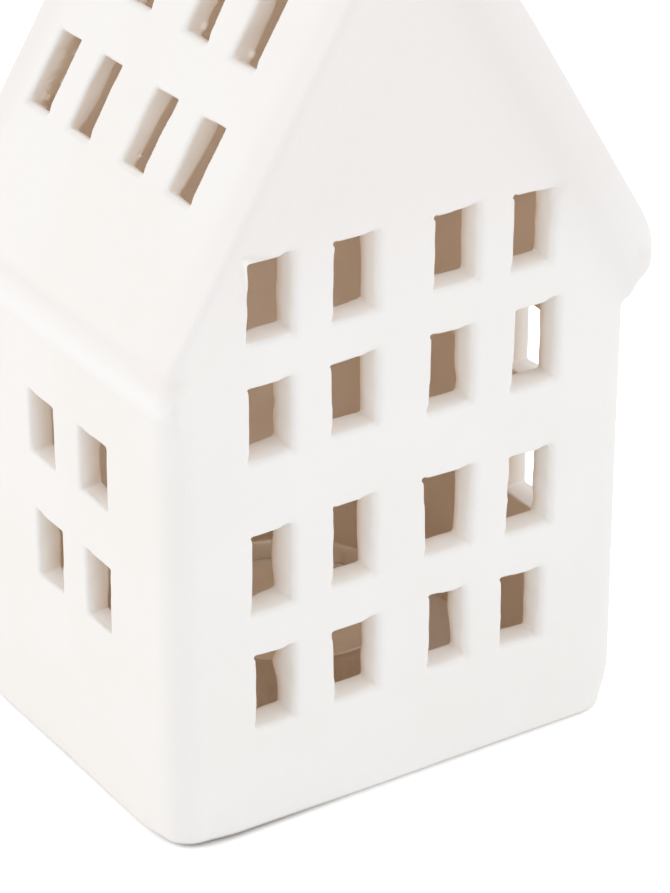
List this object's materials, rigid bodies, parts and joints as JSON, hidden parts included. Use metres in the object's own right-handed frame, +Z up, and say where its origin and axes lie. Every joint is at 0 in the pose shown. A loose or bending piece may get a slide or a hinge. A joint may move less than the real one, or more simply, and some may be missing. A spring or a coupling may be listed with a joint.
{
  "type": "tealight house",
  "caption": "White matt ceramic house with a steep gabled roof, rows of cut-out windows and roof slots, open at the base to stand over a tealight.",
  "frame": {"origin": "centre of the open base, on the surface that the house and the tealight stand on", "axes": "+Z up the house, -Y out of the front gable with its windows, +Y out of the plain back gable, +X to the right seen from the front"},
  "size_m": [0.0842, 0.0666, 0.144],
  "materials": {
    "matt_ceramic": "matt, unglazed to the touch, slightly warm white",
    "cup_aluminium": "thin pressed foil, satin",
    "wax": "white paraffin wax, faintly translucent",
    "wick_cotton": "waxed braided cotton",
    "tab_steel": "tinned steel"
  },
  "bodies": {
    "tealight": {"tealight_cup": "cup_aluminium", "tealight_wax": "wax", "wick": "wick_cotton", "wick_tab": "tab_steel"},
    "house": {"house_shell": "matt_ceramic"}
  },
  "joints": [
    {"name": "house_lift", "type": "slide", "parent": "tealight", "child": "house", "axis": [0, 0, 1], "range_m": [0, 0.06]}
  ]
}
